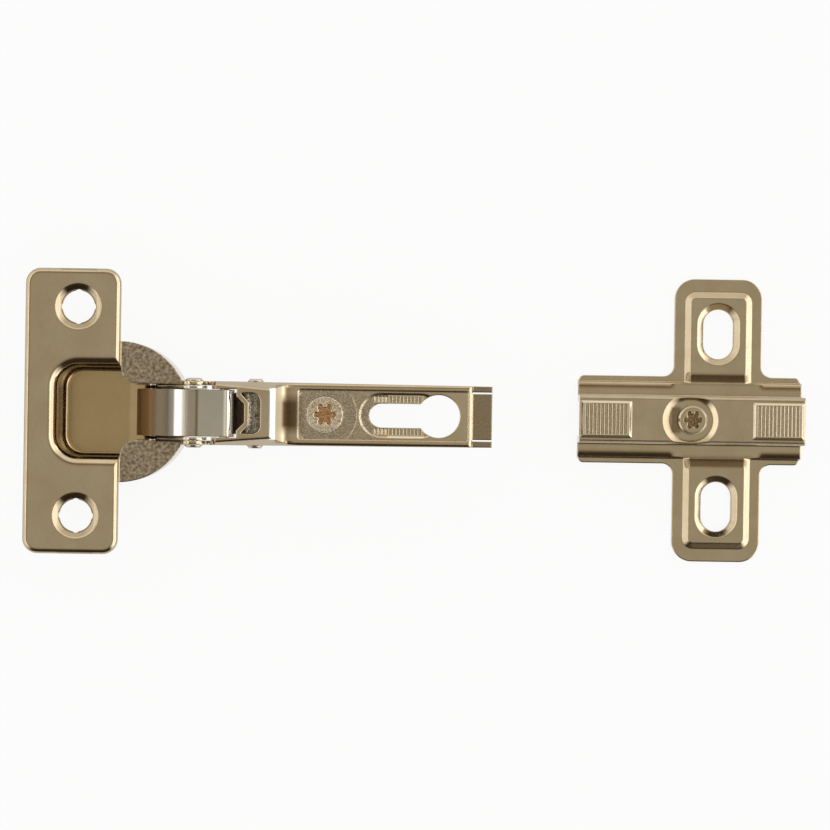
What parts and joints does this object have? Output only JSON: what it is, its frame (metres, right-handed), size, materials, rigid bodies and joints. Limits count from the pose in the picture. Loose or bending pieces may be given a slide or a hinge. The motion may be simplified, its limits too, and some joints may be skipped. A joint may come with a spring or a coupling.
{
  "type": "concealed cabinet hinge",
  "caption": "Small concealed cabinet hinge with a round door cup, pressed arm and four-bar links, lying open in line with its cross-shaped mounting plate.",
  "frame": {"origin": "on the door cup's axis, in the plane of the door face (the underside of the flange)", "axes": "+X from the cup along the arm to the mounting plate, +Y along the flange, +Z out of the door face"},
  "size_m": [0.1427, 0.0524, 0.018],
  "materials": {
    "nickel_sheet": "nickel-plated pressed steel, bright with a soft drawn grain",
    "bright_link": "nickel-plated steel, brushed across the strip",
    "rivet_steel": "zinc-plated rivets and pins",
    "screw_steel": "nickel-plated screws with a star recess",
    "spring_steel": "dark phosphated spring steel"
  },
  "bodies": {
    "cabinet_side": {"hinge_arm": "nickel_sheet", "lever_rivet": "rivet_steel", "link_rivet": "rivet_steel", "spring_rivet": "rivet_steel", "closing_spring": "spring_steel", "mounting_plate": "nickel_sheet"},
    "front_link": {"front_link": "bright_link"},
    "door_side": {"door_cup": "nickel_sheet", "link_pin": "rivet_steel", "lever_pin": "rivet_steel"},
    "inner_lever": {"inner_lever": "rivet_steel"},
    "side_screw": {"side_screw": "screw_steel"},
    "fixing_screw": {"fixing_screw": "screw_steel"}
  },
  "joints": [
    {"name": "link_swing", "type": "hinge", "parent": "cabinet_side", "child": "front_link", "pos_m": [0.0196, 0, 0.0041], "axis": [0, 1, 0], "range_deg": [0, 4.5]},
    {"name": "door_swing", "type": "hinge", "parent": "front_link", "child": "door_side", "pos_m": [0.0055, 0, -0.0069], "axis": [0, 1, 0], "range_deg": [0, 85.5]},
    {"name": "lever_swing", "type": "hinge", "parent": "door_side", "child": "inner_lever", "pos_m": [0.0058, 0, -0.0034], "axis": [0, 1, 0], "range_deg": [-107.1, 0]},
    {"name": "side_screw_turn", "type": "hinge", "parent": "cabinet_side", "child": "side_screw", "pos_m": [0.0377, 0, 0.003], "axis": [0, 0, 1], "continuous": true},
    {"name": "fixing_screw_turn", "type": "hinge", "parent": "cabinet_side", "child": "fixing_screw", "pos_m": [0.1048, 0, -0.005], "axis": [0, 0, 1], "continuous": true}
  ],
  "couplings": [
    {"joint": "link_swing", "follows": "door_swing", "ratio": 0.052},
    {"joint": "lever_swing", "follows": "door_swing", "ratio": -1.252}
  ]
}
